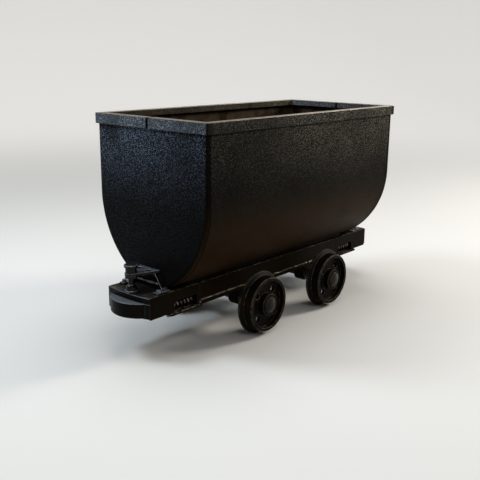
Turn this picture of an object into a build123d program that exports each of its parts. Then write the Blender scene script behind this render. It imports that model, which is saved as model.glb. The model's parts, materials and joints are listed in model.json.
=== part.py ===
from build123d import *
import os
from math import acos, cos, sin

# A side-tipping mine car for narrow track: a round-bottomed plate tub that rests on a
# two-sill frame, hinged along the far sill, with two wheelsets in axle boxes.
#
# X runs along the rails, Y across them and Z up. The origin is midway between the axles,
# level with the lowest points of the wheel flanges. All lengths are in millimetres.
# The front is the -X end, near is the -Y side, and the tub tips towards far, +Y.
# Both ends are alike, so each end piece is drawn at the front and mirrored.

# Fits and seats
RUN_FIT = 0.05          # radial clearance of a turning or pinned round
SEAT_GAP = 0.3          # left between a curved seat and what lies in it
SIDE_PLAY = 1.0         # between a lug and each cheek of its bracket

# Track and wheels
TRACK_GAUGE = 600
RAIL_PLAY = 6           # between each flange and its rail
WHEELBASE = 600
TREAD_R = 150
TREAD_FALL = 2          # how far the tread's cone falls from flange to outer edge
TREAD_W = 54
FLANGE_H = 20
FLANGE_T = 24
RIM_RING_T = 22         # the tread ring's thickness under the tread
WEB_T = 16
WEB_FROM_FACE = 30      # the web's outer face, inside the wheel's outer face
HUB_R = 60
HUB_PROUD = 6           # hub beyond the wheel's outer face
HUB_BOSS = 18           # hub beyond the wheel's back
WEB_HOLE_R = 18
WEB_HOLE_PITCH_R = 92
WEB_HOLES = 4
WEB_HOLE_START = 40     # degrees from level to the first web hole
WEB_HOLE_LIP = 5        # the cast lip round each web hole, in width and height
FLANGE_TIP = 6          # how far the flange's tip is rounded away behind
FLANGE_SLOPE = 10       # the width over which the flange slopes down to the tread
TREAD_ROOT = 4          # the rounded root between flange and tread
RIM_CHAMFER = 4
CAP_R = 43
CAP_EDGE = 4
CAP_RISE = 10           # the cap's dome above its edge
CAP_FLAT_R = 9          # the small flat at the dome's middle
CAP_FIT = 1             # the axle's end behind the hub's face

# Axles and their boxes
AXLE_R = 25
SHOULDER_R = 34
BOX_GAP = 6             # between an axle box and the axle's shoulder
BOX_R = 46
BOX_W = 52
BOX_FOOT_L = 190
BOX_FOOT_T = 14

# Frame
SILL_FROM_AXLE = 57     # the sills' underside above the axle
SILL_H = 100
SILL_HALF_W = 150       # from the centre line to a sill's outer face
SILL_FLANGE_W = 58
SILL_T = 8
SILL_PAST_TUB = 147     # sill beyond the tub's end
FOOT_BAR_T = 8          # the bar along a sill's lower edge, proud of its face
FOOT_BAR_H = 24
FOOT_BAR_DROP = 16      # the bar below the sill's underside
FOOT_BAR_SHORT = 9      # the bar's end, inside the cheek's inner end
BEARER_FROM_END = 295   # from the tub's end to the outer transoms and hinges
TRANSOM_H = 62
TRANSOM_W = 60
TRANSOM_T = 7
TUB_CLEAR = 8           # between the tub and the frame's pieces under and beside it

# Frame ends: deck, bumper, cheeks and spring pockets
DECK_T = 12
DECK_LIP_H = 30
DECK_CORNER_OUT = 8     # the lip at the deck's corners, beyond the sills' ends
DECK_BOW = 12           # how far the lip bows out at the middle
DECK_CORNER_R = 3
APRON_H = 80            # the deck plate's turned-down inner edge
BUMPER_H = 76
BUMPER_EDGE_R = 10
NOSE_HALF_W = 128       # the bumper's round nose, where it leaves the lip's line
NOSE_OUT = 56           # the nose beyond the lip's middle
CHEEK_L = 337
CHEEK_DROP = 12         # cheek below the sill's underside
POCKET_FROM_END = 158   # from the sill's end to the pocket
POCKET_L = 158
POCKET_RISE = 43        # the pocket's top above the sill's underside
POCKET_CORNER_R = 24
POCKET_BACK_T = 8
KEEPER_LAP = 30         # keeper bar beyond each end of the pocket
KEEPER_H = 12
KEEPER_PROUD = 12       # keeper bar beyond the cheek's face
STOP_T = 12             # the ribs at the pocket's ends, which the buffer rod passes
SPRING_RISE = 20        # the spring's axis above the sill's underside
SPRING_R = 20
SPRING_WIRE_W = 11
SPRING_PITCH = 27
SPRING_SLOPE = 3        # how far a turn's flanks lean in
SPRING_CORE_T = 1.5     # the thin sleeve that stands for the turns' slant
BUFFER_ROD_R = 8
BUFFER_NUT_R = 11
BUFFER_NUT_T = 13
BUFFER_NUT_END = 8      # rod beyond the nut

# Coupling gear on each deck
POST_FROM_TUB = 132
POST_BASE_R = 34
POST_BASE_T = 7
POST_DOME_H = 28
POST_R = 23
POST_NECK_R = 15
POST_H = 138
POST_DISC_R = 31        # the disc under the plate
POST_DISC_T = 14
POST_DRUM_R = 28        # the drum over the plate
POST_HEAD_R = 35        # the disc on top of the drum
POST_HEAD_T = 13
POST_HEAD_EDGE = 3
POST_BASE_STEP = 5
HOOD_H = 84
HOOD_DEPTH = 24
HOOD_FOOT_HALF_W = 116
HOOD_TOP_HALF_W = 60
HOOD_T = 8
HOOD_EAR_W = 26         # the hood's feet beside its sloping walls, for two bolts each
HOOD_EAR_L = 80
PLATE_T = 12
PLATE_HALF_W = 72
PLATE_NOSE_T = 9        # the plate's nose round the post's neck
TOW_HOLE_R = 14
TOW_HOLE_Y = 34
TOW_HOLE_FROM_TUB = 40
DRAW_BAR_R = 7
DRAW_BAR_RISE = 28      # the bar above the deck

# Tub
TUB_HALF_W = 385
TUB_HALF_L = 815
FLANK_R = 480           # outside radius of the section where a wall begins to curve in
BELLY_R = 300           # outside radius of the section's bottom
TUB_SHEET_T = 6
TUB_DIP = 12            # how far the round bottom hangs below the sills' tops
TUB_H = 847             # from the bottom of the round to the top of the rim
END_BEND_R = 20
END_SKIRT = 27          # the end plate's flanged edge, from its face to the weld
TUB_TO_END_GEAR = 10

# Rim
RIM_BAND_H = 53
RIM_BAND_T = 10
RIM_TOP_W = 45
RIM_T = 8
RIM_LIP_H = 34
RIM_CORNER_R = 12
RIM_SPLIT = 16

# Saddles under the tub and the hinge on the far sill
SADDLE_W = 36
SADDLE_EDGE = 14        # from the sill's outer face
SADDLE_FROM_END = 125   # from the tub's end to the packing's end
HINGE_OUT = 55          # the hinge pin beyond the far sill's outer face
HINGE_UP = 18           # the hinge pin above the sills' tops
PIN_R = 9
PIN_HEAD_R = 15
PIN_HEAD_T = 6
EYE_R = 18
LUG_T = 18
LUG_PAD = 34            # half the lug's width where it meets the tub
LUG_REACH = 100         # the lug plate's height above the pin before it is fitted to the tub
CHEEK_PLATE_T = 10
BRACKET_LOW = 22        # the bracket's foot above the sill's underside

# Places worked out from the sizes above
FLANGE_R = TREAD_R + FLANGE_H
AXLE_Z = FLANGE_R
WHEEL_BACK_Y = TRACK_GAUGE / 2 - RAIL_PLAY - FLANGE_T
WHEEL_FACE_Y = WHEEL_BACK_Y + FLANGE_T + TREAD_W
SILL_Z = AXLE_Z + SILL_FROM_AXLE
SILL_TOP = SILL_Z + SILL_H
SILL_IN_Y = SILL_HALF_W - SILL_FLANGE_W
SILL_WEB_Y = SILL_HALF_W - SILL_T
SILL_HALF_L = TUB_HALF_L + SILL_PAST_TUB
BEARER_X = TUB_HALF_L - BEARER_FROM_END
BEARER_XS = (-BEARER_X, 0, BEARER_X)
DECK_CORNER_X = SILL_HALF_L + DECK_CORNER_OUT
DECK_MIDDLE_X = DECK_CORNER_X + DECK_BOW
TUB_BELLY_Z = SILL_TOP - TUB_DIP
BELLY_C_Z = TUB_BELLY_Z + BELLY_R
FLANK_TURN = acos((FLANK_R - TUB_HALF_W) / (FLANK_R - BELLY_R))
FLANK_C_Z = BELLY_C_Z + (FLANK_R - BELLY_R) * sin(FLANK_TURN)
TUB_TOP = TUB_BELLY_Z + TUB_H
SHEET_TOP = TUB_TOP - RIM_T
HINGE_Y = SILL_HALF_W + HINGE_OUT
HINGE_Z = SILL_TOP + HINGE_UP
BOX_Y = SILL_IN_Y + SILL_FLANGE_W / 2
BUMPER_TOP = SILL_TOP - DECK_LIP_H
GEAR_X = TUB_HALF_L + TUB_TO_END_GEAR
POST_X = TUB_HALF_L + POST_FROM_TUB
HOOD_TOP = SILL_TOP + HOOD_H
PLATE_TOP = HOOD_TOP + PLATE_T
SPRING_Z = SILL_Z + SPRING_RISE
SPRING_Y = (SILL_WEB_Y + SILL_IN_Y + POCKET_BACK_T) / 2
POCKET_FRONT_X = SILL_HALF_L - POCKET_FROM_END
POCKET_INNER_X = POCKET_FRONT_X - POCKET_L
CHEEK_INNER_X = SILL_HALF_L - CHEEK_L
CHEEK_Z = SILL_Z - CHEEK_DROP


def save(name, *solids):
    """Write one node's solids to its own file."""
    shape = solids[0] if len(solids) == 1 else Compound(children=list(solids))
    export_step(shape, f"parts/{name}.step")


def block(x0, x1, y0, y1, z0, z1):
    """A box between two corners."""
    middle = ((x0 + x1) / 2, (y0 + y1) / 2, (z0 + z1) / 2)
    return Pos(*middle) * Box(abs(x1 - x0), abs(y1 - y0), abs(z1 - z0))


def rod(radius, start, end):
    """A round bar between two points."""
    axis = Vector(*end) - Vector(*start)
    return extrude(Plane(origin=start, z_dir=axis.normalized()) * Circle(radius), axis.length)


def across(shape):
    """The same piece on the other side of the car."""
    return mirror(shape, about=Plane.XZ)


def at_rear(shape):
    """The same piece at the rear end."""
    return mirror(shape, about=Plane.YZ)


def save_both_ends(name, *solids):
    """Write a front node and its mirror image at the rear."""
    save(f"{name}_front", *solids)
    save(f"{name}_rear", *[at_rear(solid) for solid in solids])


def section(points):
    """A flat face in the YZ plane from (y, z) points."""
    return Plane.YZ * make_face(Polyline(*points, close=True))


# Tub

def tub_outline(inset, top):
    """The tub's cross-section: straight walls, then a flank arc each side of a belly arc."""
    half_w, flank_r = TUB_HALF_W - inset, FLANK_R - inset
    flank_y = TUB_HALF_W - FLANK_R

    def on_flank(turn):
        return flank_y + flank_r * cos(turn), FLANK_C_Z - flank_r * sin(turn)

    middle, low = on_flank(FLANK_TURN / 2), on_flank(FLANK_TURN)
    walls = Polyline((-half_w, FLANK_C_Z), (-half_w, top), (half_w, top), (half_w, FLANK_C_Z))
    belly = ThreePointArc(low, (0, TUB_BELLY_Z + inset), (-low[0], low[1]))
    flanks = [
        ThreePointArc((side * half_w, FLANK_C_Z), (side * middle[0], middle[1]),
                      (side * low[0], low[1]))
        for side in (-1, 1)
    ]
    edges = walls.edges() + belly.edges() + flanks[0].edges() + flanks[1].edges()
    return Plane.YZ * make_face(edges)


def tub_envelope():
    """The tub as one block, with the gap that its seats leave round it."""
    face = tub_outline(-SEAT_GAP, SHEET_TOP)
    return extrude(Pos(-TUB_HALF_L, 0, 0) * face, 2 * TUB_HALF_L)


def tub_end(inset, from_face, depth):
    """A block with the tub's outline and a rounded edge round its outer face."""
    face = Pos(-TUB_HALF_L + from_face, 0, 0) * tub_outline(inset, SHEET_TOP + from_face)
    body = extrude(face, depth)
    front = body.faces().sort_by(Axis.X)[0]
    edges = front.edges().sort_by(Axis.Z)[:-1]
    return fillet(edges, END_BEND_R - inset)


def tub_end_plate():
    """A pressed end: flat, with its edge bent back to meet the side sheet."""
    outer = tub_end(0, 0, END_SKIRT)
    inner = tub_end(TUB_SHEET_T, TUB_SHEET_T, END_SKIRT)
    return outer - inner


def tub_wrap():
    """The sheet that makes both sides and the round bottom."""
    half = TUB_HALF_L - END_SKIRT
    outer = extrude(Pos(-half, 0, 0) * tub_outline(0, SHEET_TOP), 2 * half)
    inner = extrude(Pos(-half, 0, 0) * tub_outline(TUB_SHEET_T, TUB_TOP), 2 * half)
    return outer - inner


def rim_outline(inset, corner):
    """A rounded rectangle, so far inside the rim's outer faces."""
    half_l = TUB_HALF_L + RIM_BAND_T - inset
    half_w = TUB_HALF_W + RIM_BAND_T - inset
    return RectangleRounded(2 * half_l, 2 * half_w, corner)


def rim_halves():
    """The rim, an upturned channel over the sheet's edge, parted at each end's middle."""
    outside = rim_outline(0, RIM_CORNER_R)
    inside = rim_outline(RIM_TOP_W, RIM_CORNER_R)
    sheet = rim_outline(RIM_BAND_T, END_BEND_R)
    lip = rim_outline(RIM_TOP_W - RIM_T, RIM_CORNER_R)
    ring = Pos(0, 0, TUB_TOP - RIM_BAND_H) * extrude(outside - sheet, RIM_BAND_H)
    ring += Pos(0, 0, SHEET_TOP) * extrude(outside - inside, RIM_T)
    ring += Pos(0, 0, TUB_TOP - RIM_LIP_H) * extrude(lip - inside, RIM_LIP_H)
    half_l, half_w = TUB_HALF_L + RIM_BAND_T, TUB_HALF_W + RIM_BAND_T
    near = block(-half_l, half_l, -half_w, -RIM_SPLIT / 2, TUB_TOP - RIM_BAND_H, TUB_TOP)
    return ring & near, ring & across(near)


def saddle():
    """The packing welded along the tub's belly that stands on the near sill's top."""
    y0 = -(SILL_HALF_W - SADDLE_EDGE)
    half = TUB_HALF_L - SADDLE_FROM_END
    packing = block(-half, half, y0, y0 + SADDLE_W, SILL_TOP, BELLY_C_Z)
    return (packing - tub_envelope()).solids().sort_by(Axis.Z)[0]


def hinge_lugs():
    """Plates under the tub's far side, each with an eye for its pin."""
    envelope = tub_envelope()
    head_z = HINGE_Z + LUG_REACH
    lugs = []
    for x in BEARER_XS:
        plate = section([
            (HINGE_Y - EYE_R, HINGE_Z), (HINGE_Y - LUG_PAD, head_z),
            (HINGE_Y + LUG_PAD, head_z), (HINGE_Y + EYE_R, HINGE_Z),
        ])
        start, end = (x - LUG_T / 2, HINGE_Y, HINGE_Z), (x + LUG_T / 2, HINGE_Y, HINGE_Z)
        lug = extrude(Pos(x - LUG_T / 2, 0, 0) * plate, LUG_T) + rod(EYE_R, start, end)
        lug = lug - rod(PIN_R + RUN_FIT, start, end) - envelope
        lugs.append(lug.solids().sort_by(Axis.Z)[0])
    return lugs


# Frame

def sill():
    """The near sill: a channel with its back outwards, which gives way to a cheek at each end."""
    channel = block(-SILL_HALF_L, SILL_HALF_L, -SILL_HALF_W, -SILL_IN_Y, SILL_Z, SILL_TOP)
    channel -= block(-SILL_HALF_L, SILL_HALF_L, -SILL_WEB_Y, -SILL_IN_Y,
                     SILL_Z + SILL_T, SILL_TOP - SILL_T)
    cheek_seat = block(-SILL_HALF_L, -CHEEK_INNER_X, -SILL_HALF_W, -SILL_WEB_Y, SILL_Z, SILL_TOP)
    notch = block(-SILL_HALF_L, -POCKET_INNER_X, -SILL_WEB_Y, -SILL_IN_Y, SILL_Z, SILL_Z + SILL_T)
    channel -= cheek_seat + notch
    channel -= at_rear(cheek_seat) + at_rear(notch)
    foot_half_l = CHEEK_INNER_X - FOOT_BAR_SHORT
    foot_z = SILL_Z - FOOT_BAR_DROP
    return channel + block(-foot_half_l, foot_half_l, -SILL_HALF_W - FOOT_BAR_T, -SILL_HALF_W,
                           foot_z, foot_z + FOOT_BAR_H)


def transoms():
    """Channels between the sills, open below."""
    top = TUB_BELLY_Z - TUB_CLEAR
    pieces = []
    for x in BEARER_XS:
        half = TRANSOM_W / 2
        outer = block(x - half, x + half, -SILL_WEB_Y, SILL_WEB_Y, top - TRANSOM_H, top)
        hollow = block(x - half + TRANSOM_T, x + half - TRANSOM_T, -SILL_WEB_Y, SILL_WEB_Y,
                       top - TRANSOM_H, top - TRANSOM_T)
        pieces.append(outer - hollow)
    return pieces


def bowed_outline(inner_x, corner_x, half_w, middle_x):
    """A plan outline with a bowed front edge."""
    sides = Polyline(
        (-corner_x, -half_w), (-inner_x, -half_w), (-inner_x, half_w), (-corner_x, half_w),
    )
    front = ThreePointArc((-corner_x, half_w), (-middle_x, 0), (-corner_x, -half_w))
    return make_face(sides.edges() + front.edges())


def lip_outline():
    """The deck lip in plan, from one sill's outer side to the other's."""
    outline = bowed_outline(SILL_HALF_L, DECK_CORNER_X, SILL_HALF_W, DECK_MIDDLE_X)
    return fillet(outline.vertices().sort_by(Axis.X)[:2], DECK_CORNER_R)


def deck():
    """The end deck plate between the sills, with a deep bowed lip and an inner apron."""
    inner_x = -TUB_HALF_L - TUB_CLEAR
    plate = block(-SILL_HALF_L, inner_x, -SILL_IN_Y, SILL_IN_Y, SILL_TOP - DECK_T, SILL_TOP)
    apron = block(inner_x - DECK_T, inner_x, -SILL_IN_Y, SILL_IN_Y, SILL_TOP - APRON_H, SILL_TOP)
    return extrude(Pos(0, 0, BUMPER_TOP) * lip_outline(), DECK_LIP_H) + plate + apron


def bumper():
    """The cast bumper block under the lip, with a round nose that stands out from it."""
    nose_out = DECK_MIDDLE_X + NOSE_OUT
    nose_in = DECK_CORNER_X
    nose = bowed_outline(SILL_HALF_L, nose_in, NOSE_HALF_W, nose_out)
    body = extrude(Pos(0, 0, BUMPER_TOP - BUMPER_H) * (lip_outline() + nose), BUMPER_H)
    bowed = body.faces().sort_by(Axis.X)[0]
    return fillet(bowed.edges().sort_by(Axis.Z)[0], BUMPER_EDGE_R)


def end_cheek():
    """The near sill's cast end: a plate flush with the sill, with the pocket and its walls."""
    face_y, back_y = -SILL_HALF_W, -SILL_WEB_Y
    plate = block(-SILL_HALF_L, -CHEEK_INNER_X, face_y, back_y, CHEEK_Z, SILL_TOP)
    window = block(-POCKET_FRONT_X, -POCKET_INNER_X, face_y, back_y, CHEEK_Z, SILL_Z + POCKET_RISE)
    outer_top = window.edges().filter_by(Axis.Y).sort_by(Axis.X)[:2].sort_by(Axis.Z)[-1]
    cheek = plate - fillet(outer_top, POCKET_CORNER_R)
    low, high = SILL_Z + SILL_T, SILL_TOP - SILL_T
    wall_y = -SILL_IN_Y - POCKET_BACK_T
    cheek += block(-POCKET_FRONT_X - STOP_T, -POCKET_INNER_X + STOP_T, wall_y, -SILL_IN_Y, low, high)
    cheek += block(-POCKET_FRONT_X, -POCKET_INNER_X, wall_y, -SILL_IN_Y, SILL_Z, low)
    for x in (-POCKET_FRONT_X - STOP_T, -POCKET_INNER_X):
        cheek += block(x, x + STOP_T, back_y, wall_y, low, high)
        cheek -= rod(BUFFER_ROD_R + SEAT_GAP, (x, -SPRING_Y, SPRING_Z),
                     (x + STOP_T, -SPRING_Y, SPRING_Z))
    return cheek


def keeper():
    """The angle bar under a pocket, along the cheek's lower edge."""
    x0, x1 = -POCKET_FRONT_X - KEEPER_LAP, -POCKET_INNER_X + KEEPER_LAP
    flat = block(x0, x1, -SILL_HALF_W - KEEPER_PROUD, -SILL_IN_Y, CHEEK_Z - KEEPER_H, CHEEK_Z)
    return flat + block(x0, x1, -SILL_IN_Y - POCKET_BACK_T, -SILL_IN_Y, CHEEK_Z, SILL_Z)


def buffer_rod():
    """The rod from the bumper through the near pocket, with its inner nut."""
    nut_x = -POCKET_INNER_X + STOP_T
    end_x = nut_x + BUFFER_NUT_T + BUFFER_NUT_END
    shank = rod(BUFFER_ROD_R, (-SILL_HALF_L, -SPRING_Y, SPRING_Z), (end_x, -SPRING_Y, SPRING_Z))
    nut = extrude(Plane(origin=(nut_x, -SPRING_Y, SPRING_Z), z_dir=(1, 0, 0))
                  * RegularPolygon(BUFFER_NUT_R, 6), BUFFER_NUT_T)
    return shank + nut


def buffer_spring():
    """The spring round the rod in the near pocket, turned as a row of flat-topped rings."""
    length = POCKET_L - 2 * SEAT_GAP
    turns = round(length / SPRING_PITCH)
    bore = BUFFER_ROD_R + SEAT_GAP
    core = bore + SPRING_CORE_T
    outline = [(0, bore), (0, core)]
    for turn in range(turns):
        x = length * (turn + 0.5) / turns - SPRING_WIRE_W / 2
        outline += [
            (x, core), (x + SPRING_SLOPE, SPRING_R),
            (x + SPRING_WIRE_W - SPRING_SLOPE, SPRING_R), (x + SPRING_WIRE_W, core),
        ]
    outline += [(length, core), (length, bore)]
    spring = revolve(make_face(Polyline(*outline, close=True)), Axis.X)
    return Pos(-POCKET_FRONT_X + SEAT_GAP, -SPRING_Y, SPRING_Z) * spring


def coupling_hood():
    """The flared hood that carries the coupling plate, open towards the post."""
    foot = Rectangle(HOOD_DEPTH, 2 * HOOD_FOOT_HALF_W)
    top = Pos(0, 0, HOOD_H) * Rectangle(HOOD_DEPTH, 2 * HOOD_TOP_HALF_W)
    outer = loft([foot, top])
    inner_foot = Rectangle(HOOD_DEPTH, 2 * (HOOD_FOOT_HALF_W - HOOD_T))
    inner_top = Pos(0, 0, HOOD_H - HOOD_T) * Rectangle(HOOD_DEPTH, 2 * (HOOD_TOP_HALF_W - HOOD_T))
    inner = loft([inner_foot, inner_top])
    hood = outer - Pos(-HOOD_T, 0, 0) * inner
    for side in (-1, 1):
        ear_y = side * (HOOD_FOOT_HALF_W - HOOD_T)
        hood += block(HOOD_DEPTH / 2 - HOOD_EAR_L, HOOD_DEPTH / 2,
                      ear_y, ear_y + side * (HOOD_T + HOOD_EAR_W), 0, HOOD_T)
    return Pos(-GEAR_X - HOOD_DEPTH / 2, 0, SILL_TOP) * hood


def coupling_plate():
    """The tapered plate over hood and post, with two tow holes and an eye round the post."""
    nose_r = POST_R + PLATE_NOSE_T
    taper = Polyline(
        (-GEAR_X, -PLATE_HALF_W), (-GEAR_X, PLATE_HALF_W), (-POST_X, nose_r), (-POST_X, -nose_r),
        close=True,
    )
    plate = extrude(Pos(0, 0, HOOD_TOP) * make_face(taper), PLATE_T)
    plate += rod(nose_r, (-POST_X, 0, HOOD_TOP), (-POST_X, 0, PLATE_TOP))
    plate -= rod(POST_R + SEAT_GAP, (-POST_X, 0, HOOD_TOP), (-POST_X, 0, PLATE_TOP))
    for side in (-1, 1):
        x, y = -GEAR_X - TOW_HOLE_FROM_TUB, side * TOW_HOLE_Y
        plate -= rod(TOW_HOLE_R, (x, y, HOOD_TOP), (x, y, PLATE_TOP))
    return plate


def coupling_post():
    """The coupling post: a domed foot, a neck, a disc, a drum and a head, turned in one piece."""
    dome_top = POST_BASE_T + POST_DOME_H
    disc = HOOD_H - POST_DISC_T
    profile = Polyline(
        (0, 0), (POST_BASE_R, 0), (POST_BASE_R, POST_BASE_T),
        (POST_BASE_R - POST_BASE_STEP, POST_BASE_T),
    )
    dome = RadiusArc((POST_BASE_R - POST_BASE_STEP, POST_BASE_T), (POST_NECK_R, dome_top),
                     -POST_DOME_H)
    stem = Polyline(
        (POST_NECK_R, dome_top), (POST_NECK_R, disc), (POST_DISC_R, disc),
        (POST_DISC_R, HOOD_H), (POST_R, HOOD_H), (POST_R, HOOD_H + PLATE_T),
        (POST_DRUM_R, HOOD_H + PLATE_T), (POST_DRUM_R, POST_H - POST_HEAD_T),
        (POST_HEAD_R, POST_H - POST_HEAD_T), (POST_HEAD_R, POST_H - POST_HEAD_EDGE),
        (POST_HEAD_R - POST_HEAD_EDGE, POST_H), (0, POST_H), (0, 0),
    )
    face = Plane.XZ * make_face(profile.edges() + dome.edges() + stem.edges())
    return Pos(-POST_X, 0, SILL_TOP) * revolve(face, Axis.Z)


def draw_bar():
    """The round bar across the hood's mouth, between its two sloping sides."""
    slope = (HOOD_FOOT_HALF_W - HOOD_TOP_HALF_W) / (HOOD_H - HOOD_T)
    reach = HOOD_FOOT_HALF_W - HOOD_T - slope * (DRAW_BAR_RISE + DRAW_BAR_R) - SEAT_GAP
    x = -GEAR_X - HOOD_DEPTH + DRAW_BAR_R
    z = SILL_TOP + DRAW_BAR_RISE
    return rod(DRAW_BAR_R, (x, -reach, z), (x, reach, z))


def hinge_brackets():
    """Pairs of cheeks on the far sill, with an eye for each hinge pin."""
    pieces = []
    inner = LUG_T / 2 + SIDE_PLAY
    cheek_face = section([
        (SILL_HALF_W, SILL_Z + BRACKET_LOW),
        (HINGE_Y + EYE_R, HINGE_Z),
        (HINGE_Y - EYE_R, HINGE_Z),
        (SILL_HALF_W, SILL_TOP),
    ])
    for x in BEARER_XS:
        for x0 in (x - inner - CHEEK_PLATE_T, x + inner):
            start, end = (x0, HINGE_Y, HINGE_Z), (x0 + CHEEK_PLATE_T, HINGE_Y, HINGE_Z)
            cheek = extrude(Pos(x0, 0, 0) * cheek_face, CHEEK_PLATE_T) + rod(EYE_R, start, end)
            pieces.append(cheek - rod(PIN_R + RUN_FIT, start, end))
    return pieces


def hinge_pins():
    """A headed pin through each lug and its two cheeks."""
    half = LUG_T / 2 + SIDE_PLAY + CHEEK_PLATE_T
    pins = []
    for x in BEARER_XS:
        shank = rod(PIN_R, (x - half, HINGE_Y, HINGE_Z), (x + half, HINGE_Y, HINGE_Z))
        heads = [
            rod(PIN_HEAD_R, (x + side * half, HINGE_Y, HINGE_Z),
                (x + side * (half + PIN_HEAD_T), HINGE_Y, HINGE_Z))
            for side in (-1, 1)
        ]
        pins.append(shank + heads)
    return pins


def axle_box(x):
    """A near axle box: a round-bottomed block under the sill with a bolted foot."""
    y0, y1 = -BOX_Y - BOX_W / 2, -BOX_Y + BOX_W / 2
    body = block(x - BOX_R, x + BOX_R, y0, y1, AXLE_Z, SILL_Z)
    body += rod(BOX_R, (x, y0, AXLE_Z), (x, y1, AXLE_Z))
    body += block(x - BOX_FOOT_L / 2, x + BOX_FOOT_L / 2, y0, y1, SILL_Z - BOX_FOOT_T, SILL_Z)
    return body - rod(AXLE_R + RUN_FIT, (x, y0, AXLE_Z), (x, y1, AXLE_Z))


# Wheelsets

def wheel(x):
    """A near wheel: coned tread, rounded flange, recessed web with lipped holes, and hub."""
    back, face = WHEEL_BACK_Y, WHEEL_FACE_Y
    flange_y = back + FLANGE_T
    bore = AXLE_R + RUN_FIT
    web_out = face - WEB_FROM_FACE
    web_in = web_out - WEB_T
    ring_r = TREAD_R - RIM_RING_T
    low_r = TREAD_R - TREAD_FALL
    outline = Polyline(
        (bore, back - HUB_BOSS), (HUB_R, back - HUB_BOSS), (HUB_R, web_in), (ring_r, web_in),
        (ring_r, back), (FLANGE_R - FLANGE_TIP, back), (FLANGE_R, back + FLANGE_TIP),
        (FLANGE_R, flange_y - FLANGE_SLOPE), (TREAD_R + TREAD_ROOT, flange_y),
        (TREAD_R, flange_y + TREAD_ROOT), (low_r, face - RIM_CHAMFER),
        (low_r - RIM_CHAMFER, face), (ring_r, face), (ring_r, web_out), (HUB_R, web_out),
        (HUB_R, face + HUB_PROUD), (bore, face + HUB_PROUD), close=True,
    )
    solid = revolve(make_face(outline), Axis.Y)
    places = PolarLocations(WEB_HOLE_PITCH_R, WEB_HOLES, WEB_HOLE_START)
    upright = Rot(-90, 0, 0)
    for place in places:
        lip = extrude(place * Circle(WEB_HOLE_R + WEB_HOLE_LIP), WEB_HOLE_LIP)
        solid += upright * Pos(0, 0, web_out) * lip
    for place in places:
        hole = extrude(place * Circle(WEB_HOLE_R), WEB_T + WEB_HOLE_LIP)
        solid -= upright * Pos(0, 0, web_in) * hole
    return Pos(x, 0, AXLE_Z) * across(solid)


def hub_cap(x):
    """The domed cap over a near wheel's bearing."""
    y = WHEEL_FACE_Y + HUB_PROUD
    rim, top = y + CAP_EDGE, y + CAP_EDGE + CAP_RISE
    dome_r = (CAP_R ** 2 + CAP_RISE ** 2) / (2 * CAP_RISE)
    drum = Polyline((0, top), (0, y), (CAP_R, y), (CAP_R, rim))
    dome = RadiusArc((CAP_R, rim), (CAP_FLAT_R, top), -dome_r)
    flat = Line((CAP_FLAT_R, top), (0, top))
    cap = revolve(make_face(drum.edges() + dome.edges() + flat.edges()), Axis.Y)
    return Pos(x, 0, AXLE_Z) * across(cap)


def axle(x):
    """An axle with a shoulder outside each box."""
    reach = WHEEL_FACE_Y + HUB_PROUD - CAP_FIT
    shoulder_0 = BOX_Y + BOX_W / 2 + BOX_GAP
    shoulder_1 = WHEEL_BACK_Y - HUB_BOSS
    bar = rod(AXLE_R, (x, -reach, AXLE_Z), (x, reach, AXLE_Z))
    for side in (-1, 1):
        bar += rod(SHOULDER_R, (x, side * shoulder_0, AXLE_Z), (x, side * shoulder_1, AXLE_Z))
    return bar


os.makedirs("parts", exist_ok=True)

end_plate = tub_end_plate()
save("tub_wrap", tub_wrap())
save("tub_end_front", end_plate)
save("tub_end_rear", at_rear(end_plate))
near_rim, far_rim = rim_halves()
save("tub_rim_near", near_rim)
save("tub_rim_far", far_rim)
save("tub_saddles_near", saddle())
save("tub_saddles_far", across(saddle()))
save("tub_hinge_lugs", *hinge_lugs())

near_sill = sill()
save("sill_near", near_sill)
save("sill_far", across(near_sill))
save("transoms", *transoms())
save_both_ends("deck", deck())
save_both_ends("bumper", bumper())
save_both_ends("end_cheeks", end_cheek(), across(end_cheek()))
save_both_ends("spring_keepers", keeper(), across(keeper()))
save_both_ends("buffer_springs", buffer_spring(), across(buffer_spring()))
save_both_ends("buffer_rods", buffer_rod(), across(buffer_rod()))
save_both_ends("coupling_hood", coupling_hood())
save_both_ends("coupling_plate", coupling_plate())
save_both_ends("coupling_post", coupling_post())
save_both_ends("coupling_bar", draw_bar())
save("hinge_brackets", *hinge_brackets())
save("hinge_pins", *hinge_pins())

for end, x in (("front", -WHEELBASE / 2), ("rear", WHEELBASE / 2)):
    save(f"axle_boxes_{end}", axle_box(x), across(axle_box(x)))
    save(f"axle_{end}", axle(x))
    for side, place in (("near", lambda part: part), ("far", across)):
        save(f"wheel_{end}_{side}", place(wheel(x)))
        save(f"hub_cap_{end}_{side}", place(hub_cap(x)))
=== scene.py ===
# %% [markdown]
# # A side-tipping mine car
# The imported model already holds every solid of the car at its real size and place. This
# lesson keeps those places and gives the car its looks. Machined solids have edges like
# razors, while real plate and castings have small radii that catch a line of light, so
# each solid is copied, its edges are rounded and the copy stands for it. Then come the
# small things that a drawing leaves out: the coils of the springs, grit shields, bolts and
# weld beads.
# The lengths of small pieces are in millimetres, as a workshop has them, and `MM` turns
# them into Blender's metres. Places in the studio and on the finishes are in metres.

# %% Load the fixed frame
import json
import math

import bmesh
import bpy
from mathutils import Matrix, Vector
from mathutils.bvhtree import BVHTree

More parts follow.
